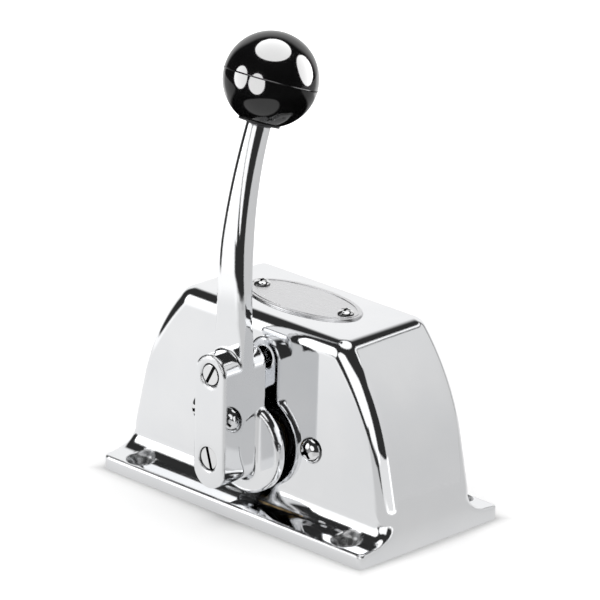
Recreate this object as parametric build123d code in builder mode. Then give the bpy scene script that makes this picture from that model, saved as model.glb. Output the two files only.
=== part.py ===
from build123d import *
import os
from math import cos, radians, sin, tan

# A boat's single throttle control: a bell-shaped cast housing with a lever on its outer face.
# Millimetres. The origin is the middle of the base's underside, +X runs along the long side,
# +Y points away from the lever side and +Z is up.

# Base flange
base_length = 178.0
base_width = 97.6
flange_thickness = 7.0
flange_corner_radius = 3.0
flange_edge_radius = 1.2
flange_slope = 5.5
mount_end_distance = 18.3
mount_side_distance = 8.6
mount_hole_diameter = 6.8
mount_sink_diameter = 14.0

# Bell-shaped housing
body_width = 62.0
body_height = 101.5
body_edge_radius = 8.0
flare_radius = 8.7
flare_corner_radius = 1.5
flare_step_count = 8
end_upright_spare = 3.4
end_knee_height = 47.0
end_knee_setback = 6.1
top_setback = 35.0
knee_blend_radius = 30.0
shoulder_radius = 10.0
wall = 4.5

# Oval plate on top
plate_length = 72.0
plate_width = 35.0
plate_thickness = 1.0
plate_rim_width = 0.9
plate_rim_height = 0.25
plate_rim_inset = 1.6
plate_screw_spacing = 57.0
plate_screw_head_diameter = 8.2
plate_screw_head_height = 2.1
plate_screw_diameter = 4.0
plate_screw_length = 7.0
plate_screw_turn = 25.0

# Lever shaft and the gap between the lever's hub and the housing
shaft_height = 35.5
shaft_diameter = 12.7
hub_gap = 4.4
running_clearance = 0.05
fit_clearance = 0.05
seat_gap = 0.2

# Lever arm casting
block_width = 20.3
block_depth = 28.7
block_low_center = 30.2
block_high_center = 78.8
block_edge_radius = 1.0
hub_diameter = 47.6
hub_thickness = 5.0
hub_rim_radius = 1.6
hub_root_radius = 2.6
shank_setback = 12.0
shank_foot_width = 20.2
shank_foot_thickness = 8.1
shank_top_diameter = 12.2
shank_corner_radius = 0.8
shank_corner_power = 1.5
shank_top_corner_share = 0.485
shank_straight_height = 121.6
shank_bend_radius = 229.5
shank_lean = 20.0
shank_sections = 9
cross_bore_diameter = 11.4
cross_bore_depth = 15.0
shaft_socket_depth = 16.6

# Ball knob
knob_diameter = 46.5
knob_flat_diameter = 19.5
knob_seam_height = 0.2
knob_seam_width = 0.7
knob_washer_diameter = 20.4
knob_washer_thickness = 0.8
stud_diameter = 9.5
stud_length = 19.0
insert_diameter = 14.0
insert_length = 21.0

# Slotted screws in the face of the lever block
hub_screw_recess_diameter = 12.2
hub_screw_head_diameter = 11.6
hub_screw_head_height = 2.4
hub_screw_sunk = 0.7
hub_screw_diameter = 8.0
hub_screw_length = 24.0
hub_screw_slot_turn = 17.6
hub_screw_grip = 9.0
hub_screw_spare_depth = 1.0
drive_flat_height = 5.0
plug_screw_head_diameter = 10.4
plug_screw_head_height = 3.0
plug_screw_sunk = 0.35
plug_screw_rim_diameter = 12.8
plug_screw_diameter = 7.0
plug_screw_length = 9.0
plug_screw_slot_turn = -28.0
screw_slot_width = 1.8
screw_slot_depth = 1.5
slotted_head_round = 0.45

# Cross-head screws that hold the bracket behind the front wall
bracket_screw_offset = 37.4
bracket_screw_height = 42.0
left_bracket_screw_turn = 10.0
right_bracket_screw_turn = 32.0
pan_head_diameter = 12.5
pan_head_height = 3.6
bracket_screw_diameter = 6.0
bracket_screw_length = 15.5
cross_length_share = 0.58
cross_arm_share = 0.14
cross_floor_share = 0.45
head_edge_share = 0.3
head_dome_share = 0.82
head_dome_reach_share = 0.36
lock_washer_diameter = 11.0
lock_washer_thickness = 1.4
nut_across_flats = 10.0
nut_thickness = 5.0
screw_hole_clearance = 0.4
small_chamfer = 0.5
end_chamfer = 0.8

# U-shaped steel bracket inside the housing
bracket_thickness = 3.0
bracket_end_distance = 8.6
bracket_low = 19.0
bracket_high = 69.0
bracket_strap_width = 64.0
cheek_face = 15.0
bend_radius = 4.0
bracket_corner_radius = 6.0

# Bushes and washers on the shaft
bush_wall = 2.2
bush_flange_diameter = 24.0
bush_flange_thickness = 1.5
thrust_washer_diameter = 27.0
rear_bush_flange_diameter = 20.0
friction_pad_diameter = 44.0
friction_pad_thickness = 2.0
friction_pad_clearance = 1.0
friction_disc_diameter = 42.0
friction_disc_thickness = 3.0
friction_disc_hole_count = 4
friction_disc_hole_diameter = 5.0
spring_washer_diameter = 26.0
spring_washer_thickness = 1.2
spring_washer_cone = 0.9
friction_nut_across_flats = 22.0
friction_nut_thickness = 7.0
shaft_tail = 5.5
ring_thickness = 1.2
ring_diameter = 17.0
ring_groove_depth = 0.9
ring_opening_share = 0.4
ring_opening_depth_share = 0.6
end_play = 0.3

# Crank inside the housing and the swivel for the control wire
crank_radius = 22.0
crank_face = 2.0
crank_thickness = 6.0
crank_hub_diameter = 22.0
crank_boss_diameter = 13.0
crank_hub_length = 17.2
key_width = 4.0
key_length = 6.0
key_setback = 1.0
set_screw_diameter = 5.0
pin_diameter = 6.0
pin_head_diameter = 9.0
pin_head_thickness = 1.6
swivel_diameter = 13.0
swivel_length = 8.6
swivel_stem_diameter = 8.0
swivel_stem_reach = 10.0
wire_hole_diameter = 4.0
wire_hole_depth = 5.0
clip_thickness = 0.8
clip_diameter = 10.0
clip_groove_depth = 0.7
pin_tail = 1.2

# Anchor for the control cable's casing
anchor_thickness = 3.0
anchor_low = 1.0
anchor_start = 8.0
anchor_width = 28.0
anchor_high = 28.0
anchor_reach = 10.0
anchor_corner_radius = 4.0
conduit_hole_diameter = 8.0
anchor_screw_height = 23.0
anchor_screw_spacing = 10.0
anchor_screw_diameter = 4.0
anchor_screw_head_diameter = 8.0
anchor_screw_head_height = 2.6

# How closely an edge has to lie to a height or depth to be picked there
pick = 0.01

# Places that follow from the sizes above
half_length = base_length / 2
mount_spacing_x = base_length - 2 * mount_end_distance
mount_spacing_y = base_width - 2 * mount_side_distance
end_knee_half_length = half_length - end_knee_setback
top_half_length = half_length - top_setback
bracket_plate_length = 2 * (bracket_screw_offset + bracket_end_distance)
half_body = body_width / 2
inner_face = -half_body + wall
hub_back = -half_body - hub_gap
block_front = hub_back - block_depth
plate_back = inner_face + bracket_thickness
pad_back = plate_back + friction_pad_thickness
disc_front = pad_back + seat_gap
disc_back = disc_front + friction_disc_thickness
washers_back = disc_back + 2 * spring_washer_thickness + spring_washer_cone
nut_back = washers_back + friction_nut_thickness
crank_back = crank_face - crank_thickness
cheek_back = cheek_face + bracket_thickness
shaft_end = cheek_back + shaft_tail
slope = radians(flange_slope)
flare_foot = half_body + flare_radius * (1 - sin(slope))
flare_foot_height = flange_thickness + (base_width / 2 - flare_foot) * tan(slope)
flare_top = flare_foot_height + flare_radius * cos(slope)
end_upright_height = flare_top + end_upright_spare
shank_top_corner = shank_top_corner_share * shank_top_diameter
shank_center = block_front + shank_setback + shank_foot_thickness / 2
shaft_radius = shaft_diameter / 2
knob_radius = knob_diameter / 2
knob_flat_drop = (knob_radius**2 - (knob_flat_diameter / 2) ** 2) ** 0.5
stack_drop = knob_flat_drop + knob_washer_thickness
lean = radians(shank_lean)
shaft_axis = Axis((0, 0, shaft_height), (0, 1, 0))

os.makedirs("parts", exist_ok=True)


# A plane facing the lever side, at the given depth, with local x along +X and local y up
def front_plane(depth, x=0.0, height=0.0):
    return Plane(origin=(x, depth, height), x_dir=(1, 0, 0), z_dir=(0, -1, 0))


# A plane square to the shaft, facing +Y, with its middle on the shaft's axis
def shaft_plane(depth):
    return Plane(origin=(0, depth, shaft_height), x_dir=(-1, 0, 0), z_dir=(0, 1, 0))


# The shank's centre line: the plane across it at a length measured up from the block's top
def shank_plane(rise):
    straight = shank_straight_height - block_high_center
    if rise <= straight:
        return Plane((0, shank_center, block_high_center + rise), x_dir=(1, 0, 0), z_dir=(0, 0, 1))
    turn = (rise - straight) / shank_bend_radius
    place = (
        0,
        shank_center + shank_bend_radius * (1 - cos(turn)),
        shank_straight_height + shank_bend_radius * sin(turn),
    )
    return Plane(place, x_dir=(1, 0, 0), z_dir=(0, sin(turn), cos(turn)))


# The housing seen from the lever side, as a face to be extruded through its width
with BuildSketch(Plane.XZ) as bell_face:
    with BuildLine():
        foot = Line((0, 0), (half_length, 0))
        upright = Line(foot @ 1, (half_length, end_upright_height))
        slant = Line(upright @ 1, (end_knee_half_length, end_knee_height))
        curve = TangentArc(slant @ 1, (top_half_length, body_height), tangent=slant % 1)
        Line(curve @ 1, (0, body_height))
        mirror(about=Plane.YZ)
    make_face()
    corners = bell_face.vertices()
    shoulders = corners.filter_by(lambda v: abs(v.Y - body_height) < pick and abs(v.X) > pick)
    fillet(shoulders, shoulder_radius)
    corners = bell_face.vertices()
    knees = corners.filter_by(lambda v: abs(v.Y - end_upright_height) < pick)
    fillet(knees, knee_blend_radius)

# The room inside: the same outline drawn in by the wall, and open at the bottom
with BuildSketch(Plane.XZ) as room_face:
    add(bell_face.sketch)
    offset(amount=-wall, kind=Kind.INTERSECTION)
    with Locations((0, wall)):
        Rectangle(2 * (half_length - wall), 2 * wall)

# The concave round between the flange and the housing's long faces: it runs straight to the flat
# ends, and the housing's upright corners sharpen on the way down to the flange
with BuildPart() as flare:
    for step in range(flare_step_count + 1):
        share = step / flare_step_count
        turn = radians(90 - flange_slope) * share
        spread = flare_radius * (1 - cos(turn))
        level = flare_top - flare_radius * sin(turn)
        corner = body_edge_radius + (flare_corner_radius - body_edge_radius) * share
        with BuildSketch(Plane.XY.offset(level)):
            RectangleRounded(base_length, 2 * (half_body + spread), corner)
    loft()
    with BuildSketch(Plane.XY):
        RectangleRounded(base_length, 2 * flare_foot, flare_corner_radius)
    extrude(amount=flare_foot_height)

# The flange falls a little from the foot of the flare to its long edges
with BuildSketch(Plane.YZ) as flange_face:
    with BuildLine():
        floor_line = Line((0, 0), (base_width / 2, 0))
        edge_line = Line(floor_line @ 1, (base_width / 2, flange_thickness))
        fall = Line(edge_line @ 1, (flare_foot, flare_foot_height))
        Line(fall @ 1, (0, flare_foot_height))
        mirror(about=Plane.YZ)
    make_face()

with BuildPart() as flange:
    with BuildSketch(Plane.XY):
        RectangleRounded(base_length, base_width, flange_corner_radius)
    extrude(amount=flare_foot_height)
    extrude(flange_face.sketch, half_length, both=True, mode=Mode.INTERSECT)
    top_edges = flange.edges().filter_by(lambda e: e.center().Z > flange_thickness - pick)
    rim = top_edges.filter_by(lambda e: abs(e.center().X) > pick or abs(e.center().Y) > flare_foot + pick)
    fillet(rim, flange_edge_radius)

with BuildPart() as housing:
    extrude(bell_face.sketch, half_body, both=True)
    faces_front_back = housing.faces().filter_by(Axis.Y)
    outline_edges = faces_front_back.edges().filter_by(lambda e: e.center().Z > pick)
    fillet(outline_edges, body_edge_radius)
    add(flare.part)
    add(flange.part)
    extrude(room_face.sketch, half_body - wall, both=True, mode=Mode.SUBTRACT)
    with Locations(Plane.XY.offset(flange_thickness)):
        with GridLocations(mount_spacing_x, mount_spacing_y, 2, 2):
            CounterSinkHole(mount_hole_diameter / 2, mount_sink_diameter / 2, depth=flange_thickness)
    with Locations(Plane.XY.offset(body_height)):
        with GridLocations(plate_screw_spacing, 0, 2, 1):
            Hole(plate_screw_diameter / 2 + fit_clearance, depth=2 * wall)
    with Locations(front_plane(-half_body, height=bracket_screw_height)):
        with GridLocations(2 * bracket_screw_offset, 0, 2, 1):
            Hole(bracket_screw_diameter / 2 + screw_hole_clearance / 2, depth=wall)
    with Locations(front_plane(-half_body, height=shaft_height)):
        Hole(shaft_diameter / 2 + bush_wall, depth=wall)
housing.part.label = "housing"
export_step(housing.part, "parts/housing.step")

# Oval plate lying on the housing's top, with a fine raised line inside its edge
rim_length = plate_length - 2 * plate_rim_inset
rim_breadth = plate_width - 2 * plate_rim_inset
with BuildPart() as name_plate:
    with BuildSketch(Plane.XY.offset(body_height)):
        Ellipse(plate_length / 2, plate_width / 2)
    extrude(amount=plate_thickness)
    fillet(name_plate.edges().group_by(Axis.Z)[-1], plate_thickness / 3)
    with BuildSketch(Plane.XY.offset(body_height + plate_thickness)):
        Ellipse(rim_length / 2, rim_breadth / 2)
        Ellipse(rim_length / 2 - plate_rim_width, rim_breadth / 2 - plate_rim_width, mode=Mode.SUBTRACT)
    extrude(amount=plate_rim_height)
    with Locations(Plane.XY.offset(body_height + plate_thickness)):
        with GridLocations(plate_screw_spacing, 0, 2, 1):
            Hole(plate_screw_diameter / 2 + fit_clearance, depth=plate_thickness)
name_plate.part.label = "name_plate"
export_step(name_plate.part, "parts/name_plate.step")


# Domed head outline beside its own axis, from the seat up, with the shank below it
def screw_outline(head_diameter, head_height, shank_diameter, shank_length):
    with BuildSketch() as outline:
        with BuildLine():
            Line((0, -shank_length), (shank_diameter / 2, -shank_length))
            Line((shank_diameter / 2, -shank_length), (shank_diameter / 2, 0))
            Line((shank_diameter / 2, 0), (head_diameter / 2, 0))
            Line((head_diameter / 2, 0), (head_diameter / 2, head_height * head_edge_share))
            ThreePointArc(
                (head_diameter / 2, head_height * head_edge_share),
                (head_diameter * head_dome_reach_share, head_height * head_dome_share),
                (0, head_height),
            )
            Line((0, head_height), (0, -shank_length))
        make_face()
    return outline.sketch


# The cross-shaped recess in the top of a domed head, as a flat shape
def cross_recess(head_diameter):
    with BuildSketch() as cross:
        arm = head_diameter * cross_length_share
        Rectangle(arm, head_diameter * cross_arm_share)
        Rectangle(head_diameter * cross_arm_share, arm)
        Circle(head_diameter * cross_arm_share)
    return cross.sketch


# Upright cross-head screw standing on the origin, ready to be laid on its seat
def cross_head_screw(head_diameter, head_height, shank_diameter, shank_length):
    with BuildPart() as screw:
        revolve(Plane.XZ * screw_outline(head_diameter, head_height, shank_diameter, shank_length), Axis.Z)
        recess = Plane.XY.offset(head_height * cross_floor_share) * cross_recess(head_diameter)
        extrude(recess, amount=head_height, mode=Mode.SUBTRACT)
    return screw.part


with BuildPart() as name_plate_screws:
    with Locations(Plane.XY.offset(body_height + plate_thickness)):
        with GridLocations(plate_screw_spacing, 0, 2, 1):
            add(
                cross_head_screw(
                    plate_screw_head_diameter,
                    plate_screw_head_height,
                    plate_screw_diameter,
                    plate_screw_length,
                ),
                rotation=(0, 0, plate_screw_turn),
            )
name_plate_screws.part.label = "name_plate_screws"
export_step(name_plate_screws.part, "parts/name_plate_screws.step")

# U-shaped bracket: a wide plate behind the front wall, a strap over the shaft and a rear cheek
bracket_middle = (bracket_low + bracket_high) / 2
bracket_plate_height = bracket_high - bracket_low - 2 * bend_radius
with BuildPart() as bracket:
    with BuildSketch(Plane.YZ.offset(-bracket_strap_width / 2)):
        with BuildLine():
            inner_leg = Line((inner_face, bracket_low), (inner_face, bracket_high))
            top_run = Line(inner_leg @ 1, (cheek_back, bracket_high))
            Line(top_run @ 1, (cheek_back, bracket_low))
            offset(amount=bracket_thickness, side=Side.RIGHT, kind=Kind.INTERSECTION)
        make_face()
    extrude(amount=bracket_strap_width)
    long_edges = bracket.edges().filter_by(Axis.X)
    bends = long_edges.filter_by(lambda e: abs(e.center().Z - bracket_high) < pick)
    fillet(bends, bend_radius)
    with BuildSketch(front_plane(plate_back, height=bracket_middle)):
        RectangleRounded(bracket_plate_length, bracket_plate_height, bracket_corner_radius)
    extrude(amount=bracket_thickness)
    with Locations(front_plane(inner_face, height=bracket_screw_height)):
        with GridLocations(2 * bracket_screw_offset, 0, 2, 1):
            Hole(bracket_screw_diameter / 2 + screw_hole_clearance / 2, depth=bracket_thickness)
    with Locations(front_plane(inner_face, height=shaft_height)):
        Hole(shaft_diameter / 2 + bush_wall, depth=cheek_back - inner_face)
    anchor_middle = anchor_start + anchor_width / 2
    with Locations(front_plane(cheek_face, x=anchor_middle, height=anchor_screw_height)):
        with GridLocations(anchor_screw_spacing, 0, 2, 1):
            Hole(anchor_screw_diameter / 2 + fit_clearance, depth=bracket_thickness)
bracket.part.label = "mechanism_bracket"
export_step(bracket.part, "parts/mechanism_bracket.step")

# Two cross-head screws through the front wall and the bracket
with BuildPart() as bracket_screws:
    for side, turn in ((-1, left_bracket_screw_turn), (1, right_bracket_screw_turn)):
        with Locations(front_plane(-half_body, x=side * bracket_screw_offset, height=bracket_screw_height)):
            add(
                cross_head_screw(
                    pan_head_diameter,
                    pan_head_height,
                    bracket_screw_diameter,
                    bracket_screw_length,
                ),
                rotation=(0, 0, turn),
            )
bracket_screws.part.label = "bracket_screws"
export_step(bracket_screws.part, "parts/bracket_screws.step")

with BuildPart() as lock_washers:
    with BuildSketch(front_plane(plate_back + lock_washer_thickness, height=bracket_screw_height)):
        with GridLocations(2 * bracket_screw_offset, 0, 2, 1):
            Circle(lock_washer_diameter / 2)
            Circle(bracket_screw_diameter / 2 + screw_hole_clearance / 2, mode=Mode.SUBTRACT)
    extrude(amount=lock_washer_thickness)
lock_washers.part.label = "bracket_lock_washers"
export_step(lock_washers.part, "parts/bracket_lock_washers.step")

nuts_front = plate_back + lock_washer_thickness
with BuildPart() as bracket_nuts:
    with BuildSketch(front_plane(nuts_front + nut_thickness, height=bracket_screw_height)):
        with GridLocations(2 * bracket_screw_offset, 0, 2, 1):
            RegularPolygon(nut_across_flats / 2, 6, major_radius=False)
            Circle(bracket_screw_diameter / 2 + fit_clearance, mode=Mode.SUBTRACT)
    extrude(amount=nut_thickness)
    nut_ends = bracket_nuts.edges().filter_by(GeomType.LINE).filter_by(Axis.Y, reverse=True)
    chamfer(nut_ends, small_chamfer)
bracket_nuts.part.label = "bracket_nuts"
export_step(bracket_nuts.part, "parts/bracket_nuts.step")

# Flanged bronze bush through the front wall and the bracket
with BuildPart() as front_bush:
    with BuildSketch(shaft_plane(-half_body)):
        Circle(shaft_diameter / 2 + bush_wall - fit_clearance)
    extrude(amount=plate_back + half_body)
    with BuildSketch(shaft_plane(-half_body)):
        Circle(bush_flange_diameter / 2)
    extrude(amount=-bush_flange_thickness)
    with Locations(shaft_plane(plate_back)):
        Hole(shaft_diameter / 2 + running_clearance)
front_bush.part.label = "front_bush"
export_step(front_bush.part, "parts/front_bush.step")

# Plain plastic washer that the hub turns against
washer_front = hub_back + seat_gap
with BuildPart() as thrust_washer:
    with BuildSketch(shaft_plane(washer_front)):
        Circle(thrust_washer_diameter / 2)
        Circle(shaft_diameter / 2 + running_clearance, mode=Mode.SUBTRACT)
    extrude(amount=-half_body - bush_flange_thickness - washer_front)
    chamfer(thrust_washer.edges().sort_by(SortBy.LENGTH)[-2:], small_chamfer)
thrust_washer.part.label = "thrust_washer"
export_step(thrust_washer.part, "parts/thrust_washer.step")

# Flanged bronze bush in the rear cheek
with BuildPart() as rear_bush:
    with BuildSketch(shaft_plane(cheek_face)):
        Circle(shaft_diameter / 2 + bush_wall - fit_clearance)
    extrude(amount=bracket_thickness)
    with BuildSketch(shaft_plane(cheek_face)):
        Circle(rear_bush_flange_diameter / 2)
    extrude(amount=-bush_flange_thickness)
    with Locations(shaft_plane(cheek_back)):
        Hole(shaft_diameter / 2 + running_clearance)
rear_bush.part.label = "rear_bush"
export_step(rear_bush.part, "parts/rear_bush.step")

# Fibre ring glued behind the bracket's front plate
with BuildPart() as friction_pad:
    with BuildSketch(shaft_plane(plate_back)):
        Circle(friction_pad_diameter / 2)
        Circle(shaft_diameter / 2 + friction_pad_clearance, mode=Mode.SUBTRACT)
    extrude(amount=friction_pad_thickness)
friction_pad.part.label = "friction_pad"
export_step(friction_pad.part, "parts/friction_pad.step")

# Hole for the shaft with a flat across its upper side
def flatted_hole(clearance):
    with BuildSketch() as hole:
        Circle(shaft_radius + clearance)
        with Locations((0, drive_flat_height + clearance)):
            Rectangle(shaft_diameter, shaft_radius, align=(Align.CENTER, Align.MIN), mode=Mode.SUBTRACT)
    return hole.sketch


# Steel disc on the shaft's flat, which turns with it against the fibre ring
with BuildPart() as friction_disc:
    with BuildSketch(shaft_plane(disc_front)):
        Circle(friction_disc_diameter / 2)
        add(flatted_hole(fit_clearance), mode=Mode.SUBTRACT)
    extrude(amount=friction_disc_thickness)
    with BuildSketch(shaft_plane(disc_front)):
        with PolarLocations((friction_disc_diameter + shaft_diameter) / 4, friction_disc_hole_count):
            Circle(friction_disc_hole_diameter / 2)
    extrude(amount=friction_disc_thickness, mode=Mode.SUBTRACT)
friction_disc.part.label = "friction_disc"
export_step(friction_disc.part, "parts/friction_disc.step")

# Pair of cone-shaped spring washers, back to back
washer_hole = shaft_diameter / 2 + fit_clearance
washer_edge = spring_washer_diameter / 2
with BuildPart() as spring_washers:
    for rim, way in ((disc_back, 1), (washers_back, -1)):
        with BuildSketch(Plane.XY.offset(shaft_height)):
            with BuildLine():
                Polyline(
                    (washer_hole, rim + way * spring_washer_cone / 2),
                    (washer_edge, rim),
                    (washer_edge, rim + way * spring_washer_thickness),
                    (washer_hole, rim + way * (spring_washer_thickness + spring_washer_cone / 2)),
                    close=True,
                )
            make_face()
        revolve(axis=shaft_axis)
spring_washers.part.label = "spring_washers"
export_step(spring_washers.part, "parts/spring_washers.step")

# Six-sided nut that sets how stiffly the lever moves
with BuildPart() as friction_nut:
    with BuildSketch(shaft_plane(washers_back)):
        RegularPolygon(friction_nut_across_flats / 2, 6, major_radius=False)
        Circle(shaft_diameter / 2 + fit_clearance, mode=Mode.SUBTRACT)
    extrude(amount=friction_nut_thickness)
    corner_edges = friction_nut.edges().filter_by(GeomType.LINE).filter_by(Axis.Y, reverse=True)
    chamfer(corner_edges.group_by(Axis.Y)[-1], end_chamfer)
friction_nut.part.label = "friction_nut"
export_step(friction_nut.part, "parts/friction_nut.step")

# Shaft: a flat at its front is driven by the lever's hub and one behind drives the disc,
# a key drives the crank and a ring holds its tail
shaft_front = hub_back - shaft_socket_depth + fit_clearance
tapped_depth = hub_screw_length - hub_screw_grip + hub_screw_spare_depth
key_front = crank_back + key_setback
ring_front = cheek_back + end_play
with BuildPart() as shaft:
    with BuildSketch(shaft_plane(shaft_front)):
        Circle(shaft_radius)
    extrude(amount=shaft_end - shaft_front)
    chamfer(shaft.edges().group_by(Axis.Y)[-1], end_chamfer)
    with BuildSketch(front_plane(hub_back, height=shaft_height + drive_flat_height)):
        Rectangle(shaft_diameter, shaft_radius, align=(Align.CENTER, Align.MIN))
    extrude(amount=shaft_socket_depth, mode=Mode.SUBTRACT)
    with BuildSketch(front_plane(nut_back, height=shaft_height + drive_flat_height)):
        Rectangle(shaft_diameter, shaft_radius, align=(Align.CENTER, Align.MIN))
    extrude(amount=nut_back - pad_back, mode=Mode.SUBTRACT)
    with Locations(front_plane(shaft_front, height=shaft_height)):
        Hole(hub_screw_diameter / 2 + fit_clearance, depth=tapped_depth)
    with BuildSketch(shaft_plane(key_front)):
        with Locations((0, shaft_radius)):
            Rectangle(key_width, key_width)
    extrude(amount=key_length, mode=Mode.SUBTRACT)
    with BuildSketch(shaft_plane(ring_front)):
        Circle(shaft_diameter)
        Circle(shaft_radius - ring_groove_depth, mode=Mode.SUBTRACT)
    extrude(amount=ring_thickness, mode=Mode.SUBTRACT)
shaft.part.label = "lever_shaft"
export_step(shaft.part, "parts/lever_shaft.step")

with BuildPart() as shaft_key:
    with BuildSketch(shaft_plane(key_front + fit_clearance)):
        with Locations((0, shaft_radius)):
            Rectangle(key_width - 2 * fit_clearance, key_width - 2 * fit_clearance)
    extrude(amount=key_length - 2 * fit_clearance)
shaft_key.part.label = "shaft_key"
export_step(shaft_key.part, "parts/shaft_key.step")

# Open spring ring in the groove behind the rear cheek
with BuildPart() as shaft_ring:
    with BuildSketch(shaft_plane(ring_front + fit_clearance)):
        Circle(ring_diameter / 2)
        Circle(shaft_radius - ring_groove_depth + fit_clearance, mode=Mode.SUBTRACT)
        with Locations((0, -ring_diameter / 2)):
            Rectangle(
                ring_diameter * ring_opening_share,
                ring_diameter * ring_opening_depth_share,
                mode=Mode.SUBTRACT,
            )
    extrude(amount=ring_thickness - 2 * fit_clearance)
shaft_ring.part.label = "shaft_ring"
export_step(shaft_ring.part, "parts/shaft_ring.step")

# Crank keyed on the shaft, with a long hub and a boss for its pin
with BuildPart() as crank:
    with BuildSketch(front_plane(crank_face, height=shaft_height)):
        Circle(crank_hub_diameter / 2)
        with Locations((crank_radius, 0)):
            Circle(crank_boss_diameter / 2)
        make_hull()
    extrude(amount=crank_thickness)
    with BuildSketch(front_plane(crank_back + crank_hub_length, height=shaft_height)):
        Circle(crank_hub_diameter / 2)
    extrude(amount=crank_hub_length)
    with BuildSketch(front_plane(crank_back + crank_hub_length, height=shaft_height)):
        Circle(shaft_radius + fit_clearance)
        with Locations((0, shaft_radius)):
            Rectangle(key_width, key_width)
        with Locations((crank_radius, 0)):
            Circle(pin_diameter / 2 + fit_clearance)
    extrude(amount=crank_hub_length, mode=Mode.SUBTRACT)
    set_screw_depth = crank_back + crank_hub_length - set_screw_diameter
    with Locations(Plane((-crank_hub_diameter / 2, set_screw_depth, shaft_height), z_dir=(-1, 0, 0))):
        Hole(set_screw_diameter / 2 + fit_clearance, depth=crank_hub_diameter / 2)
crank.part.label = "crank_arm"
export_step(crank.part, "parts/crank_arm.step")

# Headless screw with a six-sided socket, from the crank's hub down to the shaft
set_screw_length = crank_hub_diameter / 2 - shaft_radius - 2 * fit_clearance
with BuildPart() as set_screw:
    with BuildSketch(Plane((-crank_hub_diameter / 2, set_screw_depth, shaft_height), z_dir=(1, 0, 0))):
        Circle(set_screw_diameter / 2)
    extrude(amount=set_screw_length)
    with BuildSketch(Plane((-crank_hub_diameter / 2, set_screw_depth, shaft_height), z_dir=(1, 0, 0))):
        RegularPolygon(set_screw_diameter / 4, 6, major_radius=False)
    extrude(amount=set_screw_length / 2, mode=Mode.SUBTRACT)
set_screw.part.label = "crank_set_screw"
export_step(set_screw.part, "parts/crank_set_screw.step")

# Headed pin through the crank's boss, grooved for its clip
swivel_front = crank_face + end_play
clip_front = swivel_front + swivel_length + seat_gap
pin_end = clip_front + clip_thickness + pin_tail
with BuildPart() as crank_pin:
    with BuildSketch(shaft_plane(crank_back - pin_head_thickness)):
        with Locations((-crank_radius, 0)):
            Circle(pin_head_diameter / 2)
    extrude(amount=pin_head_thickness)
    with BuildSketch(shaft_plane(crank_back)):
        with Locations((-crank_radius, 0)):
            Circle(pin_diameter / 2)
    extrude(amount=pin_end - crank_back)
    chamfer(crank_pin.edges().group_by(Axis.Y)[-1], small_chamfer)
    with BuildSketch(shaft_plane(clip_front)):
        with Locations((-crank_radius, 0)):
            Circle(pin_diameter)
            Circle(pin_diameter / 2 - clip_groove_depth, mode=Mode.SUBTRACT)
    extrude(amount=clip_thickness, mode=Mode.SUBTRACT)
crank_pin.part.label = "crank_pin"
export_step(crank_pin.part, "parts/crank_pin.step")

with BuildPart() as pin_clip:
    with BuildSketch(shaft_plane(clip_front + fit_clearance)):
        with Locations((-crank_radius, 0)):
            Circle(clip_diameter / 2)
            Circle(pin_diameter / 2 - clip_groove_depth + fit_clearance, mode=Mode.SUBTRACT)
        with Locations((-crank_radius, -clip_diameter / 2)):
            Rectangle(
                clip_diameter * ring_opening_share,
                clip_diameter * ring_opening_depth_share,
                mode=Mode.SUBTRACT,
            )
    extrude(amount=clip_thickness - 2 * fit_clearance)
pin_clip.part.label = "pin_clip"
export_step(pin_clip.part, "parts/pin_clip.step")

# Swivel eye on the crank's pin, with a drilled stem that takes the control wire
swivel_middle = swivel_front + swivel_length / 2
with BuildPart() as swivel:
    with BuildSketch(front_plane(swivel_front + swivel_length, x=crank_radius, height=shaft_height)):
        Circle(swivel_diameter / 2)
    extrude(amount=swivel_length)
    chamfer(swivel.edges().group_by(Axis.Y)[0], small_chamfer)
    chamfer(swivel.edges().group_by(Axis.Y)[-1], small_chamfer)
    stem_plane = Plane((crank_radius, swivel_middle, shaft_height - swivel_stem_reach), z_dir=(0, 0, 1))
    with BuildSketch(stem_plane):
        Circle(swivel_stem_diameter / 2)
    extrude(amount=swivel_stem_reach)
    with BuildSketch(stem_plane):
        Circle(wire_hole_diameter / 2)
    extrude(amount=wire_hole_depth, mode=Mode.SUBTRACT)
    with Locations(front_plane(swivel_front, x=crank_radius, height=shaft_height)):
        Hole(pin_diameter / 2 + running_clearance, depth=swivel_length)
swivel.part.label = "cable_swivel"
export_step(swivel.part, "parts/cable_swivel.step")

# Angle plate on the rear cheek, drilled and tapped below the swivel for the cable's casing
anchor_front = swivel_middle - anchor_reach
anchor_depth = cheek_back + anchor_thickness - anchor_front
with BuildPart() as anchor:
    with BuildSketch(Plane.XY.offset(anchor_low)):
        with Locations((anchor_start, anchor_front)):
            Rectangle(anchor_width, anchor_depth, align=(Align.MIN, Align.MIN))
    extrude(amount=anchor_thickness)
    corner_edges = anchor.edges().filter_by(Axis.Z).group_by(Axis.Y)[0]
    fillet(corner_edges, anchor_corner_radius)
    with BuildSketch(Plane.XY.offset(anchor_low)):
        with Locations((anchor_start, cheek_back)):
            Rectangle(anchor_width, anchor_thickness, align=(Align.MIN, Align.MIN))
    extrude(amount=anchor_high - anchor_low)
    with Locations(front_plane(cheek_back, x=anchor_middle, height=anchor_screw_height)):
        with GridLocations(anchor_screw_spacing, 0, 2, 1):
            Hole(anchor_screw_diameter / 2 + fit_clearance, depth=anchor_thickness)
    with Locations(Plane((crank_radius, swivel_middle, anchor_low + anchor_thickness))):
        Hole(conduit_hole_diameter / 2, depth=anchor_thickness)
anchor.part.label = "cable_anchor"
export_step(anchor.part, "parts/cable_anchor.step")

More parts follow.
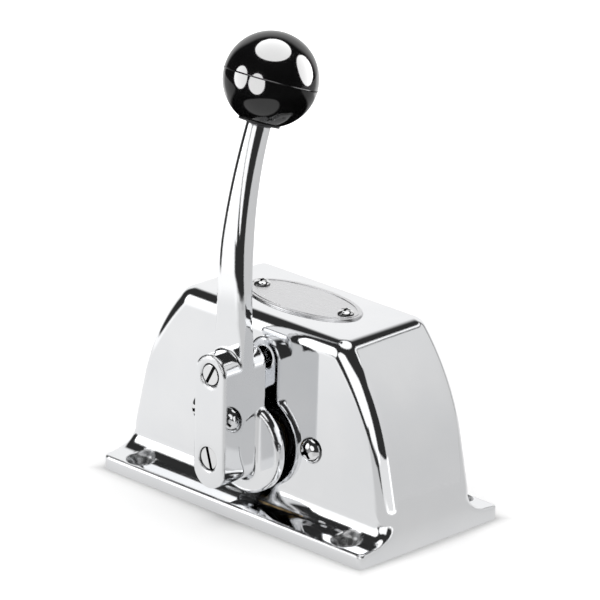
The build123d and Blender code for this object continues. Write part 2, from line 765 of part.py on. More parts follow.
anchor_seat = Plane(
    origin=(anchor_middle, cheek_back + anchor_thickness, anchor_screw_height),
    x_dir=(-1, 0, 0),
    z_dir=(0, 1, 0),
)
with BuildPart() as anchor_screws:
    with Locations(anchor_seat):
        with GridLocations(anchor_screw_spacing, 0, 2, 1):
            add(
                cross_head_screw(
                    anchor_screw_head_diameter,
                    anchor_screw_head_height,
                    anchor_screw_diameter,
                    anchor_thickness + bracket_thickness,
                )
            )
anchor_screws.part.label = "anchor_screws"
export_step(anchor_screws.part, "parts/anchor_screws.step")

# Lever arm: upright block, hub disc behind it and a shank that bends back over the housing
straight_rise = shank_straight_height - block_high_center
shank_rise = straight_rise + shank_bend_radius * lean
block_middle = (block_low_center + block_high_center) / 2
with BuildPart() as lever_arm:
    with BuildSketch(front_plane(hub_back, height=block_middle)):
        SlotCenterToCenter(block_high_center - block_low_center, block_width, rotation=90)
    extrude(amount=block_depth)
    outline_edges = lever_arm.edges().group_by(Axis.Y)
    fillet(outline_edges[0] + outline_edges[-1], block_edge_radius)
    with BuildSketch(front_plane(hub_back, height=shaft_height)):
        Circle(hub_diameter / 2)
    extrude(amount=hub_thickness)
    rim_edges = lever_arm.edges().filter_by(
        lambda e: e.geom_type == GeomType.CIRCLE
        and abs(e.radius - hub_diameter / 2) < pick
        and abs(e.center().Y - hub_back + hub_thickness) < pick
    )
    fillet(rim_edges, hub_rim_radius)
    root_edges = lever_arm.edges().filter_by(
        lambda e: abs(e.center().Y - hub_back + hub_thickness) < pick
        and abs(e.center().X) < block_width / 2 + pick
        and e.center().Z < shaft_height + hub_diameter / 2 - hub_rim_radius
    )
    fillet(root_edges, hub_root_radius)
    for index in range(shank_sections):
        share = index / (shank_sections - 1)
        ease = share**2 * (3 - 2 * share)
        width = shank_foot_width + (shank_top_diameter - shank_foot_width) * ease
        thickness = shank_foot_thickness + (shank_top_diameter - shank_foot_thickness) * share
        corner = shank_corner_radius + (shank_top_corner - shank_corner_radius) * share**shank_corner_power
        with BuildSketch(shank_plane(share * shank_rise)):
            RectangleRounded(width, thickness, corner)
    loft()
    with BuildSketch(shank_plane(shank_rise)):
        Circle(stud_diameter / 2)
    extrude(amount=stud_length)
    with BuildSketch(front_plane(hub_back, height=shaft_height)):
        add(flatted_hole(fit_clearance))
    extrude(amount=shaft_socket_depth, mode=Mode.SUBTRACT)
    with Locations(front_plane(block_front, height=shaft_height)):
        CounterBoreHole(
            hub_screw_diameter / 2 + screw_hole_clearance / 2,
            hub_screw_recess_diameter / 2,
            hub_screw_sunk + hub_screw_head_height,
            depth=block_depth,
        )
    with Locations(front_plane(block_front, height=block_high_center)):
        CounterBoreHole(
            plug_screw_diameter / 2 + fit_clearance,
            plug_screw_head_diameter / 2 + 2 * fit_clearance,
            plug_screw_sunk + plug_screw_head_height,
            depth=block_depth,
        )
    rim_circle = lever_arm.edges().filter_by(
        lambda e: e.geom_type == GeomType.CIRCLE
        and abs(e.center().Z - block_high_center) < pick
        and abs(e.center().Y - block_front) < pick
        and e.radius < plug_screw_head_diameter
    )
    rim_step = (plug_screw_rim_diameter - plug_screw_head_diameter) / 2 - 2 * fit_clearance
    chamfer(rim_circle, rim_step)
    with BuildSketch(front_plane(hub_back, height=block_high_center)):
        Circle(cross_bore_diameter / 2)
    extrude(amount=cross_bore_depth, mode=Mode.SUBTRACT)
lever_arm.part.label = "lever_arm"
export_step(lever_arm.part, "parts/lever_arm.step")


# Slotted cylinder-head screw standing on the origin, the slot turned about its own axis
def slotted_screw(head_diameter, head_height, shank_diameter, shank_length, turn):
    with BuildPart() as screw:
        with BuildSketch(Plane.XY):
            Circle(head_diameter / 2)
        extrude(amount=head_height)
        fillet(screw.edges().group_by(Axis.Z)[-1], slotted_head_round)
        with BuildSketch(Plane.XY):
            Circle(shank_diameter / 2)
        extrude(amount=-shank_length)
        with BuildSketch(Plane.XY.offset(head_height - screw_slot_depth)):
            Rectangle(screw_slot_width, 2 * head_diameter, rotation=turn)
        extrude(amount=head_height, mode=Mode.SUBTRACT)
    return screw.part


with BuildPart() as hub_screw:
    hub_screw_seat = block_front + hub_screw_sunk + hub_screw_head_height
    with Locations(front_plane(hub_screw_seat, height=shaft_height)):
        add(
            slotted_screw(
                hub_screw_head_diameter,
                hub_screw_head_height,
                hub_screw_diameter,
                hub_screw_length,
                hub_screw_slot_turn,
            )
        )
hub_screw.part.label = "hub_screw"
export_step(hub_screw.part, "parts/hub_screw.step")

with BuildPart() as plug_screw:
    plug_screw_seat = block_front + plug_screw_sunk + plug_screw_head_height
    with Locations(front_plane(plug_screw_seat, height=block_high_center)):
        add(
            slotted_screw(
                plug_screw_head_diameter,
                plug_screw_head_height,
                plug_screw_diameter,
                plug_screw_length,
                plug_screw_slot_turn,
            )
        )
plug_screw.part.label = "bore_plug_screw"
export_step(plug_screw.part, "parts/bore_plug_screw.step")

# The ball and what fastens it are turned about the shank's leaning end
knob_axis = Vector(0, sin(lean), cos(lean))
shank_end = shank_plane(shank_rise)
knob_center = shank_end.origin + knob_axis * stack_drop
knob_profile_plane = Plane(knob_center, x_dir=(1, 0, 0), z_dir=(0, -cos(lean), sin(lean)))
knob_turning_axis = Axis(knob_center, knob_axis)
seam_angle = knob_seam_width / 2 / knob_radius
seam_foot = (knob_radius * cos(seam_angle), knob_radius * sin(seam_angle))
flat_angle = -0.5 * (seam_angle + radians(90))
with BuildPart() as knob:
    with BuildSketch(knob_profile_plane):
        with BuildLine():
            Line((insert_diameter / 2, -knob_flat_drop), (knob_flat_diameter / 2, -knob_flat_drop))
            ThreePointArc(
                (knob_flat_diameter / 2, -knob_flat_drop),
                (knob_radius * cos(flat_angle), knob_radius * sin(flat_angle)),
                (seam_foot[0], -seam_foot[1]),
            )
            Polyline((seam_foot[0], -seam_foot[1]), (knob_radius + knob_seam_height, 0), seam_foot)
            ThreePointArc(
                seam_foot,
                (knob_radius * cos(-flat_angle), knob_radius * sin(-flat_angle)),
                (0, knob_radius),
            )
            Polyline(
                (0, knob_radius),
                (0, insert_length - knob_flat_drop),
                (insert_diameter / 2, insert_length - knob_flat_drop),
                (insert_diameter / 2, -knob_flat_drop),
            )
        make_face()
    revolve(axis=knob_turning_axis)
knob.part.label = "ball_knob"
export_step(knob.part, "parts/ball_knob.step")

with BuildPart() as knob_insert:
    with BuildSketch(shank_end.offset(knob_washer_thickness)):
        Circle(insert_diameter / 2 - fit_clearance)
        Circle(stud_diameter / 2 + fit_clearance, mode=Mode.SUBTRACT)
    extrude(amount=insert_length - fit_clearance)
knob_insert.part.label = "knob_insert"
export_step(knob_insert.part, "parts/knob_insert.step")

with BuildPart() as knob_washer:
    with BuildSketch(shank_end):
        Circle(knob_washer_diameter / 2)
        Circle(stud_diameter / 2 + fit_clearance, mode=Mode.SUBTRACT)
    extrude(amount=knob_washer_thickness)
knob_washer.part.label = "knob_washer"
export_step(knob_washer.part, "parts/knob_washer.step")
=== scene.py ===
import math

import bpy
from mathutils import Matrix, Vector


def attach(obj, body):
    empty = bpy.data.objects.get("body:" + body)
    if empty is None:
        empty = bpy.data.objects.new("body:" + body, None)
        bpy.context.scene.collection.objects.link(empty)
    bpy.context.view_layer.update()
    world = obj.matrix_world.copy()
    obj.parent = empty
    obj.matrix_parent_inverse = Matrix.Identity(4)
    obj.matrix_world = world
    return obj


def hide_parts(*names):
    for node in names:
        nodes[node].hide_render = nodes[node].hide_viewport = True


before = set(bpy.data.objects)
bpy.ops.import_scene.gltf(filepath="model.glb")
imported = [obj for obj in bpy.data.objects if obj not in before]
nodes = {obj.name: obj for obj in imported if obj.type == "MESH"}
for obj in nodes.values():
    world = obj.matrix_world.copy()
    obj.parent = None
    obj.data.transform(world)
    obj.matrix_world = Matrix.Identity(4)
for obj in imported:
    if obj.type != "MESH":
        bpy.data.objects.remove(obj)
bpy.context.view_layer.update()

# Sizes of the part that its finishes and the studio are laid out from, in metres
ball_place = (0.0, -0.0267, 0.2207)
hole_place = (0.0707, 0.0402, 0.0)
base_half = {"X": 0.089, "Y": 0.0488}


# Gives a socket a plain value, or links an output to it
def feed(tree, socket, value):
    if isinstance(value, bpy.types.NodeSocket):
        tree.links.new(value, socket)
    else:
        socket.default_value = value


def feed_all(tree, node, **values):
    for socket, value in values.items():
        feed(tree, node.inputs[socket.replace("_", " ")], value)


def math_node(tree, operation, *values):
    node = tree.nodes.new("ShaderNodeMath")
    node.operation = operation
    for socket, value in zip(node.inputs, values):
        feed(tree, socket, value)
    return node.outputs["Value"]


def vector_node(tree, operation, *values):
    node = tree.nodes.new("ShaderNodeVectorMath")
    node.operation = operation
    for socket, value in zip(node.inputs, values):
        feed(tree, socket, value)
    return node.outputs["Value" if operation in ("LENGTH", "DOT_PRODUCT") else "Vector"]


def scaled(tree, colour, share):
    node = tree.nodes.new("ShaderNodeVectorMath")
    node.operation = "SCALE"
    feed(tree, node.inputs[0], colour)
    feed(tree, node.inputs["Scale"], share)
    return node.outputs["Vector"]


# Goes from low to high while the value goes from start to end
def map_range(tree, value, start, end, low, high, course="LINEAR"):
    node = tree.nodes.new("ShaderNodeMapRange")
    node.interpolation_type = course
    feed_all(tree, node, Value=value, From_Min=start, From_Max=end, To_Min=low, To_Max=high)
    return node.outputs["Result"]


def smooth_step(tree, value, start, end, low, high):
    return map_range(tree, value, start, end, low, high, "SMOOTHSTEP")


# A material of the part, with its patterns on the piece's own coordinates
class Paint:
    def __init__(self, name):
        self.material = bpy.data.materials.new(name)
        self.material.use_nodes = True
        self.tree = self.material.node_tree
        self.shader = self.tree.nodes["Principled BSDF"]
        self.place = self.tree.nodes.new("ShaderNodeTexCoord").outputs["Object"]

    def put(self, socket, value):
        feed(self.tree, self.shader.inputs[socket], value)

    # The output that feeds one of the shader's sockets so far
    def fed(self, socket):
        return self.shader.inputs[socket].links[0].from_socket

    def stretched(self, scale):
        node = self.tree.nodes.new("ShaderNodeMapping")
        feed_all(self.tree, node, Vector=self.place, Scale=scale)
        return node.outputs["Vector"]

    def noise(self, vector, scale, detail, rough=0.5):
        node = self.tree.nodes.new("ShaderNodeTexNoise")
        feed_all(self.tree, node, Vector=vector, Scale=scale, Detail=detail, Roughness=rough)
        return node.outputs["Fac"]

    def ramp(self, factor, darker, paler, stops=(0.3, 0.7)):
        node = self.tree.nodes.new("ShaderNodeValToRGB")
        for element, stop, colour in zip(node.color_ramp.elements, stops, (darker, paler)):
            element.position = stop
            element.color = (*colour, 1.0)
        feed(self.tree, node.inputs["Fac"], factor)
        return node.outputs["Color"]

    def span(self, factor, low, high, start=0.3, end=0.7):
        return map_range(self.tree, factor, start, end, low, high)

    # Colour and roughness that follow one pattern
    def coat(self, pattern, darker, paler, roughness, stops=(0.3, 0.7)):
        self.put("Base Color", self.ramp(pattern, darker, paler, stops))
        self.put("Roughness", self.span(pattern, *roughness))

    def bump(self, height, strength, distance):
        node = self.tree.nodes.new("ShaderNodeBump")
        feed_all(self.tree, node, Height=height, Strength=strength, Distance=distance)
        self.put("Normal", node.outputs["Normal"])


# Polished metal, its colour darkened in the crevices where two pieces meet: painted shade
def bright_metal(name, darker, paler, roughness, wave, grain, painted_shade_reach, painted_shade_span):
    paint = Paint(name)
    paint.put("Metallic", 1.0)
    cloud = paint.noise(paint.place, scale=34.0, detail=4.0)
    # Painted shade: the base colour is darkened, down to 0.08 of it, where ambient occlusion finds surfaces close
    # by
    crevice = paint.tree.nodes.new("ShaderNodeAmbientOcclusion")
    feed_all(paint.tree, crevice, Distance=painted_shade_reach)
    painted_crevice_shade = paint.span(crevice.outputs["AO"], 0.08, 1.0, *painted_shade_span)
    paint.put("Base Color", scaled(paint.tree, paint.ramp(cloud, darker, paler), painted_crevice_shade))
    fine = paint.noise(paint.place, scale=grain, detail=6.0, rough=0.6)
    paint.put("Roughness", paint.span(fine, *roughness))
    swell = paint.noise(paint.place, scale=28.0, detail=2.0)
    paint.bump(swell, strength=1.0, distance=wave)
    return paint


casting = bright_metal(
    "bright_casting",
    darker=(0.86, 0.87, 0.885),
    paler=(0.9, 0.905, 0.915),
    roughness=(0.018, 0.045),
    wave=0.0000012,
    grain=900.0,
    painted_shade_reach=0.0016,
    painted_shade_span=(0.3, 0.85),
)
# The bowls of the four mounting holes are duller, and their colour darker, than the rest of the casting
bowl_radius = 0.0074
bowl_edge = bowl_radius - 0.0002
bowl_dullness = 0.2
bowl_shade = 0.62
from_hole = vector_node(casting.tree, "SUBTRACT", vector_node(casting.tree, "ABSOLUTE", casting.place), hole_place)
from_hole = vector_node(casting.tree, "LENGTH", vector_node(casting.tree, "MULTIPLY", from_hole, (1.0, 1.0, 0.0)))
drilled = casting.span(from_hole, bowl_dullness, 0.0, bowl_edge, bowl_radius)
casting.put("Roughness", math_node(casting.tree, "ADD", casting.fed("Roughness"), drilled))
dulled = casting.span(from_hole, bowl_shade, 1.0, bowl_edge, bowl_radius)
casting.put("Base Color", scaled(casting.tree, casting.fed("Base Color"), dulled))
# Polishing has rolled the arrises over, so that they mirror as narrow soft bands
rolled_radius = 0.0027
rolled = casting.tree.nodes.new("ShaderNodeBevel")
rolled.samples = 8
feed_all(casting.tree, rolled, Radius=rolled_radius)
feed_all(casting.tree, casting.fed("Normal").node, Normal=rolled.outputs["Normal"])

screw = bright_metal(
    "bright_screw",
    darker=(0.82, 0.825, 0.83),
    paler=(0.88, 0.88, 0.885),
    roughness=(0.05, 0.12),
    wave=0.00001,
    grain=1500.0,
    painted_shade_reach=0.003,
    painted_shade_span=(0.5, 0.9),
)

satin = Paint("plate_metal")
satin.put("Metallic", 1.0)
streaks = satin.noise(satin.stretched((40.0, 1500.0, 1500.0)), scale=1.0, detail=4.0, rough=0.6)
satin.coat(streaks, (0.66, 0.66, 0.67), (0.8, 0.8, 0.81), roughness=(0.24, 0.38), stops=(0.25, 0.75))
satin.bump(streaks, strength=0.25, distance=0.00005)

ball = Paint("black_ball")
ball.put("IOR", 1.52)
mottle = ball.noise(ball.place, scale=60.0, detail=3.0)
ball.put("Base Color", ball.ramp(mottle, (0.002, 0.002, 0.0021), (0.0042, 0.0042, 0.0044)))
haze = ball.noise(ball.place, scale=500.0, detail=5.0, rough=0.6)
# The moulding seam runs round the ball's middle, tilted back, as a fine line with less gloss
seam_tilt = math.radians(20.0)
seam_half_width = 0.00035
seam_normal = (0.0, math.sin(seam_tilt), math.cos(seam_tilt))
seam_height = sum(place * share for place, share in zip(ball_place, seam_normal))
seam_side = vector_node(ball.tree, "DOT_PRODUCT", ball.place, seam_normal)
on_seam = math_node(ball.tree, "COMPARE", seam_side, seam_height, seam_half_width)
worn = ball.span(on_seam, 0.0, 0.12, 0.0, 1.0)
ball.put("Specular IOR Level", ball.span(on_seam, 0.5, 0.1, 0.0, 1.0))
ball.put("Roughness", math_node(ball.tree, "ADD", ball.span(haze, 0.05, 0.09), worn))
ball.bump(haze, strength=0.12, distance=0.00003)

steel = Paint("inner_steel")
steel.put("Metallic", 1.0)
patches = steel.noise(steel.place, scale=120.0, detail=5.0, rough=0.6)
steel.coat(patches, (0.48, 0.49, 0.5), (0.64, 0.645, 0.64), roughness=(0.28, 0.46))
steel.bump(steel.noise(steel.place, scale=1400.0, detail=4.0), strength=0.2, distance=0.00004)


def turned_metal(name, darker, paler, roughness):
    paint = Paint(name)
    paint.put("Metallic", 1.0)
    rings = paint.noise(paint.stretched((300.0, 3000.0, 300.0)), scale=1.0, detail=3.0)
    paint.coat(rings, darker, paler, roughness)
    paint.bump(rings, strength=0.3, distance=0.00003)
    return paint


bronze = turned_metal("bronze", (0.5, 0.34, 0.16), (0.66, 0.47, 0.24), roughness=(0.26, 0.4))
brass = turned_metal("insert_brass", (0.68, 0.52, 0.25), (0.8, 0.64, 0.34), roughness=(0.2, 0.34))

fibre = Paint("fibre")
specks = fibre.noise(fibre.place, scale=1800.0, detail=3.0, rough=0.7)
fibre.coat(specks, (0.13, 0.085, 0.055), (0.3, 0.21, 0.15), roughness=(0.6, 0.85), stops=(0.35, 0.65))
fibre.bump(specks, strength=0.5, distance=0.0001)

nylon = Paint("nylon")
cloud = nylon.noise(nylon.place, scale=700.0, detail=4.0)
nylon.coat(cloud, (0.022, 0.022, 0.024), (0.04, 0.04, 0.042), roughness=(0.35, 0.5))
nylon.bump(cloud, strength=0.2, distance=0.00004)

finishes = {
    "bright_casting": casting.material,
    "bright_screw": screw.material,
    "plate_metal": satin.material,
    "black_ball": ball.material,
    "inner_steel": steel.material,
    "bronze": bronze.material,
    "insert_brass": brass.material,
    "fibre": fibre.material,
    "nylon": nylon.material,
}
for node in nodes.values():
    for slot in node.material_slots:
        slot.material = finishes[slot.material.name.split(".")[0]]

# The lever's shank: the same arm with its four long edges polished rounder, as on the real lever.
# Sizes as the shank was drawn: its foot, its straight run and its bend.
foot_height = 0.0788
shank_depth = -0.04805
straight_top = 0.1216
bend_radius = 0.2295
shank_length = 0.12291
foot_half_width = 0.0101
foot_half_thickness = 0.00405
top_half = 0.0061
foot_corner = 0.0008
top_corner = 0.005917
corner_growth = 1.5
# What the polishing changes, and between which heights above the foot it sets in
polished_corner = 0.0027
polished_spread = 1.75
polish_start = 0.0108
polish_end = 0.026
skin = 0.0004


def blend_share(value, start, end):
    share = min(max((value - start) / (end - start), 0.0), 1.0)
    return share * share * (3.0 - 2.0 * share)


# Where a point of the shank's surface comes to lie, or None for a point off the shank
def polished_place(point):
    if point.z <= straight_top:
        turn = 0.0
        rise = point.z - foot_height
        depth = point.y - shank_depth
    else:
        run = shank_depth + bend_radius - point.y
        turn = math.atan2(point.z - straight_top, run)
        rise = straight_top - foot_height + bend_radius * turn
        depth = bend_radius - math.hypot(point.z - straight_top, run)
    share = rise / shank_length
    if rise < polish_start or share > 1.0:
        return None
    half_width = foot_half_width + (top_half - foot_half_width) * blend_share(share, 0.0, 1.0)
    half_thickness = foot_half_thickness + (top_half - foot_half_thickness) * share
    corner = foot_corner + (top_corner - foot_corner) * share**corner_growth
    polish = blend_share(rise, polish_start, polish_end)
    rounder = corner + max(polished_corner - corner, 0.0) * polish
    side, near = abs(point.x), abs(depth)
    if side > half_width + skin or near > half_thickness + skin:
        return None
    spread = 1.0 + (polished_spread - 1.0) * polish * (1.0 - share)
    flat_side, flat_near = half_width - corner, half_thickness - corner
    new_side, new_near = half_width - rounder * spread, half_thickness - rounder
    if side > flat_side and near > flat_near:
        side = new_side + spread * rounder / corner * (side - flat_side)
        near = new_near + rounder / corner * (near - flat_near)
    elif near > flat_near:
        side = side * new_side / flat_side
    else:
        near = near * new_near / flat_near
    side = math.copysign(side, point.x)
    near = math.copysign(near, depth)
    if turn == 0.0:
        return Vector((side, shank_depth + near, point.z))
    reach = bend_radius - near
    return Vector((side, shank_depth + bend_radius - reach * math.cos(turn), straight_top + reach * math.sin(turn)))


arm = nodes["lever_arm"].copy()
arm.data = nodes["lever_arm"].data.copy()
arm.name = "polished_arm"
bpy.context.scene.collection.objects.link(arm)
kept_normals = [Vector(corner.vector) for corner in arm.data.corner_normals]
for vertex in arm.data.vertices:
    place = polished_place(vertex.co)
    if place is not None:
        vertex.co = place
arm.data.normals_split_custom_set(kept_normals)
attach(arm, "lever")
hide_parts("lever_arm")

scene = bpy.context.scene
scene.view_settings.view_transform = "Standard"

# The camera, as it was solved from the photo: angles in degrees, focal length in the photo's pixels
azimuth = math.radians(43.71)
elevation = math.radians(20.15)
roll = math.radians(1.53)
target = Vector((-0.00209, -0.00036, 0.10118))
distance = 2.548
focal_length = 5211.0
photo_width = 600.0
film_width = 36.0
back = Vector((
    math.sin(azimuth) * math.cos(elevation),
    -math.cos(azimuth) * math.cos(elevation),
    math.sin(elevation),
))
flat_right = Vector((math.cos(azimuth), math.sin(azimuth), 0.0))
flat_up = back.cross(flat_right)
right = math.cos(roll) * flat_right + math.sin(roll) * flat_up
up = math.cos(roll) * flat_up - math.sin(roll) * flat_right
camera_data = bpy.data.cameras.new("camera")
camera_data.sensor_width = film_width
camera_data.lens = focal_length / photo_width * film_width
camera_data.clip_start = 0.1
camera_data.clip_end = 60.0
camera = bpy.data.objects.new("camera", camera_data)
scene.collection.objects.link(camera)
camera.matrix_world = Matrix.Translation(target + back * distance) @ Matrix((right, up, back)).transposed().to_4x4()
scene.camera = camera

# The studio is laid out round the ball and the middle of the part
middle = Vector((0.0, -0.01, 0.12))
ball_middle = Vector(ball_place)


# A side of 0 degrees is straight in front of the lever, 90 to its right; the rise is above the level
def direction(side, rise):
    a, e = math.radians(side), math.radians(rise)
    return Vector((math.sin(a) * math.cos(e), -math.cos(a) * math.cos(e), math.sin(e)))


# Which of the part's pieces a studio card shines on
def only(name, *objects):
    group = bpy.data.collections.new(name)
    for obj in objects:
        group.objects.link(obj)
    return group


def all_but(name, *objects):
    group = only(name, *objects)
    for member in group.collection_objects:
        member.light_linking.link_state = "EXCLUDE"
    return group


metal = all_but("all_but_ball", nodes["ball_knob"])
ball_alone = only("ball_alone", nodes["ball_knob"])
housing_alone = only("housing_alone", nodes["housing"])
plate_alone = only("plate_alone", nodes["name_plate"])


# Adds a primitive with nothing else selected
def new_stage_piece(name, add, **sizes):
    bpy.ops.object.select_all(action="DESELECT")
    bpy.context.view_layer.objects.active = None
    add(**sizes)
    obj = bpy.context.object
    obj.name = name
    return obj


def mirror_only(obj):
    obj.visible_camera = False
    obj.visible_diffuse = False
    obj.visible_shadow = False
    obj.visible_transmission = False
    obj.visible_volume_scatter = False


def bare_material(name):
    material = bpy.data.materials.new(name)
    material.use_nodes = True
    material.node_tree.nodes.clear()
    return material


def glow(tree, strength):
    light = tree.nodes.new("ShaderNodeEmission")
    feed_all(tree, light, Strength=strength)
    return light.outputs["Emission"]


def clear(tree):
    return tree.nodes.new("ShaderNodeBsdfTransparent").outputs["BSDF"]


def surface(tree, shader):
    feed_all(tree, tree.nodes.new("ShaderNodeOutputMaterial"), Surface=shader)


# A card's own coordinates and their two flat axes
def flat_place(tree, kind):
    place = tree.nodes.new("ShaderNodeTexCoord").outputs[kind]
    split = tree.nodes.new("ShaderNodeSeparateXYZ")
    feed_all(tree, split, Vector=place)
    return place, split.outputs["X"], split.outputs["Y"]


# How far a point of the floor lies outside the base's outline
def past_base(tree, x, y):
    beyond = [
        math_node(tree, "SUBTRACT", math_node(tree, "ABSOLUTE", axis), half)
        for axis, half in ((x, base_half["X"]), (y, base_half["Y"]))
    ]
    return math_node(tree, "MAXIMUM", *beyond)


# A pane that only mirrors see: it adds its own glow to what lies behind it.
# Soft is the share of the half size over which the rim fades, lower the glow at the bottom edge.
def pane_glow(name, strength, soft, round_shape, lower):
    material = bare_material(name)
    tree = material.node_tree
    x, y = flat_place(tree, "UV")[1:]
    across, rise = [
        math_node(tree, "ABSOLUTE", math_node(tree, "MULTIPLY_ADD", axis, 2.0, -1.0)) for axis in (x, y)
    ]
    rim = 1.0 - soft
    if round_shape:
        squares = [math_node(tree, "MULTIPLY", axis, axis) for axis in (across, rise)]
        radius = math_node(tree, "SQRT", math_node(tree, "ADD", *squares))
        mask = smooth_step(tree, radius, rim, 1.0, 1.0, 0.0)
    else:
        fades = [smooth_step(tree, axis, rim, 1.0, 1.0, 0.0) for axis in (across, rise)]
        mask = math_node(tree, "MULTIPLY", *fades)
    if lower is not None:
        mask = math_node(tree, "MULTIPLY", mask, smooth_step(tree, y, 0.0, 1.0, lower, 1.0))
    rays = tree.nodes.new("ShaderNodeLightPath")
    direct = math_node(tree, "LESS_THAN", rays.outputs["Diffuse Depth"], 0.5)
    mask = math_node(tree, "MULTIPLY", mask, direct)
    both = tree.nodes.new("ShaderNodeAddShader")
    feed(tree, both.inputs[0], glow(tree, math_node(tree, "MULTIPLY", mask, strength)))
    feed(tree, both.inputs[1], clear(tree))
    surface(tree, both.outputs["Shader"])
    return material


def card(name, laid, strength, soft, round_shape=False, shines_on=None, lower=None):
    obj = new_stage_piece(name, bpy.ops.mesh.primitive_plane_add, size=2.0)
    obj.data.transform(laid)
    obj.data.materials.append(pane_glow(name, strength, soft, round_shape, lower))
    if shines_on is not None:
        obj.light_linking.receiver_collection = shines_on
    mirror_only(obj)


# A card that faces the ball and covers the given sides and rises, in degrees, as seen from it
def pane(name, sides, rises, strength, soft, reach=1.1, **others):
    half_side = math.radians(sides[1] - sides[0]) / 2
    half_rise = math.radians(rises[1] - rises[0]) / 2
    toward = -direction(sum(sides) / 2, sum(rises) / 2)
    across = Vector((0.0, 0.0, 1.0)).cross(toward).normalized()
    turn = Matrix((across, toward.cross(across), toward)).transposed().to_4x4()
    half_width = reach * math.tan(half_side) * math.cos(math.radians(sum(rises) / 2))
    size = Matrix.Diagonal((half_width, reach * math.tan(half_rise), 1.0, 1.0))
    card(name, Matrix.Translation(ball_middle - reach * toward) @ turn @ size, strength, soft, **others)


def level_card(name, place, half_x, half_y, strength, soft, shines_on):
    laid = Matrix.Translation(place) @ Matrix.Diagonal((half_x, half_y, 1.0, 1.0))
    card(name, laid, strength, soft, round_shape=True, shines_on=shines_on)


# The metal sees each lamp at a plain level; the black ball mirrors only a little, so its own are stronger
metal_level = 1.15
ball_level = 17.0


def lamp_pane(name, sides, rises, metal_foot):
    metal_rises = (metal_foot, rises[1])
    pane(name + "_for_metal", sides, metal_rises, metal_level, 0.06, round_shape=True, shines_on=metal)
    pane(name + "_for_ball", sides, rises, ball_level, 0.06, 1.15, round_shape=True, shines_on=ball_alone)


lamp_pane("left_lamp", (-54.0, -14.0), (-16.0, 28.0), metal_foot=-16.0)
lamp_pane("front_lamp", (-10.0, 31.0), (-22.0, 27.0), metal_foot=-10.0)
for name, strength, receivers, height in (
    ("overhead_for_metal", metal_level, metal, 1.0),
    ("overhead_for_ball", ball_level, ball_alone, 1.05),
):
    place = ball_middle + Vector((0.0, 0.12 * height, height))
    level_card(name, place, 0.68 * height, 0.68 * height, strength, 0.03, receivers)

pane("left_wing", (-56.0, -38.0), (-26.0, 29.0), metal_level, 0.15, shines_on=metal)
pane("rear_lamp_for_ball", (119.0, 169.0), (-13.0, 40.0), ball_level, 0.06, round_shape=True, shines_on=ball_alone)
pane("rear_strip", (119.0, 169.0), (31.0, 36.0), metal_level, 0.1, shines_on=metal)
pane("side_pane", (20.0, 56.0), (-12.0, 27.0), metal_level, 0.2, shines_on=housing_alone)
pane("low_wall", (44.0, 112.0), (-26.0, -6.0), 0.82, 0.05, reach=1.12, shines_on=housing_alone)
pane("plate_pane", (15.0, 80.0), (-10.0, 45.0), 0.8, 0.3, reach=1.2, shines_on=plate_alone)
pane("grey_card", (100.0, 172.0), (-44.0, 32.0), 0.74, 0.07, shines_on=metal, lower=0.72)
pane("backdrop_pane", (-190.0, -92.0), (-50.0, 50.0), 0.95, 0.45)

# Patches of lit floor, laid just over it: name, x, y, half sizes, strength, softness, what sees them
patch_height = 0.0006
for name, x, y, half_x, half_y, strength, soft, receivers in (
    ("front_floor", 0.08, -0.235, 0.23, 0.17, 0.98, 0.12, ball_alone),
    ("rear_floor", 0.05, 0.75, 1.15, 0.51, 0.55, 0.1, ball_alone),
    ("left_floor", -0.78, -0.05, 0.48, 0.6, 0.6, 0.15, ball_alone),
    ("side_floor", 0.62, -0.05, 0.34, 0.32, 0.8, 0.3, housing_alone),
):
    level_card(name, (x, y, patch_height), half_x, half_y, strength, soft, receivers)

# The dark of the room behind all the cards
room = new_stage_piece("dark_room", bpy.ops.mesh.primitive_uv_sphere_add, segments=64, ring_count=32, radius=4.0)
room_paint = bare_material("dark_room")
surface(room_paint.node_tree, glow(room_paint.node_tree, 0.03))
room.data.materials.append(room_paint)
mirror_only(room)

# The table top as the polished metal sees it: its glow painted paler to the front left, with a painted shadow by
# the foot
table = new_stage_piece(
    "table_top", bpy.ops.mesh.primitive_circle_add, vertices=128, radius=0.47, fill_type="NGON"
)
table.data.transform(Matrix.Translation((0.0, 0.0, -0.0004)))
table_paint = bare_material("table_top")
tree = table_paint.node_tree
place, x, y = flat_place(tree, "Object")
front_shade = smooth_step(tree, x, start=-0.15, end=0.0, low=0.91, high=0.8)
# Out in front the painted shade of the darker side starts nearer the middle
nearer = smooth_step(tree, y, start=-0.088, end=-0.074, low=0.045, high=0.0)
side_place = math_node(tree, "ADD", x, nearer)
side_shade = smooth_step(tree, side_place, start=0.08, end=0.115, low=front_shade, high=0.62)
far_shade = smooth_step(tree, y, start=-0.42, end=-0.28, low=0.94, high=0.0)
# Painted shadow: the table's glow is dimmed close round the base's outline
foot_shade = smooth_step(tree, x, start=0.086, end=0.092, low=0.82, high=0.93)
painted_foot_shadow = smooth_step(tree, past_base(tree, x, y), start=-0.002, end=0.018, low=foot_shade, high=1.0)
from_middle = vector_node(tree, "LENGTH", place)
edge = smooth_step(tree, from_middle, start=0.4, end=0.46, low=1.0, high=0.0)
lit_edge = smooth_step(tree, from_middle, start=0.31, end=0.37, low=0.0, high=0.2)
lit_side = smooth_step(tree, x, start=-0.1, end=-0.02, low=1.0, high=0.0)
shade = math_node(tree, "MAXIMUM", side_shade, far_shade)
shade = math_node(tree, "ADD", shade, math_node(tree, "MULTIPLY", lit_edge, lit_side))
faded = tree.nodes.new("ShaderNodeMixShader")
feed(tree, faded.inputs[0], edge)
feed(tree, faded.inputs[1], clear(tree))
feed(tree, faded.inputs[2], glow(tree, math_node(tree, "MULTIPLY", shade, painted_foot_shadow)))
surface(tree, faded.outputs["Shader"])
table.data.materials.append(table_paint)
table.light_linking.receiver_collection = metal
mirror_only(table)
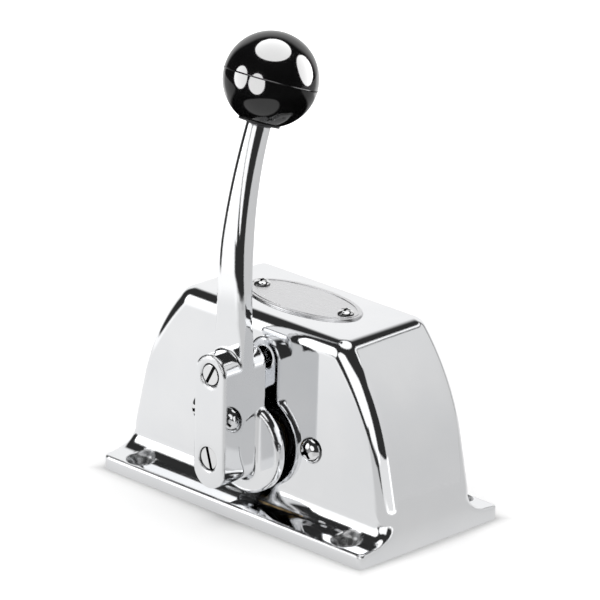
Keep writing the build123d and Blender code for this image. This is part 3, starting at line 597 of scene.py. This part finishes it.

# Wide pale floor, seen by the camera: it glows more further out, and its glow is taken away under the base and just
# round it, a painted contact shadow
floor = new_stage_piece(
    "pale_floor", bpy.ops.mesh.primitive_circle_add, vertices=128, radius=6.0, fill_type="NGON"
)
floor_paint = bpy.data.materials.new("pale_floor")
floor_paint.use_nodes = True
tree = floor_paint.node_tree
place, x, y = flat_place(tree, "Object")
away = smooth_step(tree, vector_node(tree, "LENGTH", place), start=0.16, end=0.6, low=0.38, high=1.0)
# Painted contact shadow: the floor's glow fades to nothing from just outside the base's outline inwards
painted_contact_shadow = smooth_step(tree, past_base(tree, x, y), start=-0.004, end=0.009, low=0.0, high=1.0)
feed_all(
    tree,
    tree.nodes["Principled BSDF"],
    Base_Color=(0.75, 0.75, 0.75, 1.0),
    Roughness=0.9,
    Specular_IOR_Level=0.0,
    Emission_Color=(1.0, 1.0, 1.0, 1.0),
    Emission_Strength=math_node(tree, "MULTIPLY", away, painted_contact_shadow),
)
floor.data.materials.append(floor_paint)
floor.visible_glossy = False
floor.visible_shadow = False


# A round area lamp that shines on the part and isn't mirrored in it
def lamp(name, side, rise, reach, size, watts):
    data = bpy.data.lights.new(name, "AREA")
    data.shape = "DISK"
    data.size = size
    data.energy = watts
    obj = bpy.data.objects.new(name, data)
    scene.collection.objects.link(obj)
    obj.location = middle + reach * direction(side, rise)
    obj.rotation_mode = "QUATERNION"
    obj.rotation_quaternion = (middle - obj.location).to_track_quat("-Z", "Y")
    obj.visible_camera = False
    obj.visible_glossy = False


lamp("overhead_lamp", side=0.0, rise=89.0, reach=1.1, size=1.35, watts=11.0)
lamp("rear_lamp", side=147.0, rise=20.0, reach=1.4, size=0.9, watts=3.0)
lamp("front_lamp", side=-10.0, rise=20.0, reach=1.4, size=1.0, watts=4.0)

# White where it is seen or mirrored, and soft as a light
world = bpy.data.worlds.new("studio")
scene.world = world
world.use_nodes = True
tree = world.node_tree
tree.nodes.clear()
rays = tree.nodes.new("ShaderNodeLightPath")
seen = math_node(tree, "MAXIMUM", rays.outputs["Is Camera Ray"], rays.outputs["Is Glossy Ray"])
seen = math_node(tree, "MAXIMUM", seen, rays.outputs["Is Transmission Ray"])
sky = tree.nodes.new("ShaderNodeBackground")
sky_strength = smooth_step(tree, seen, start=0.0, end=1.0, low=0.3, high=1.0)
feed_all(tree, sky, Color=(1.0, 1.0, 1.0, 1.0), Strength=sky_strength)
feed_all(tree, tree.nodes.new("ShaderNodeOutputWorld"), Surface=sky.outputs["Background"])
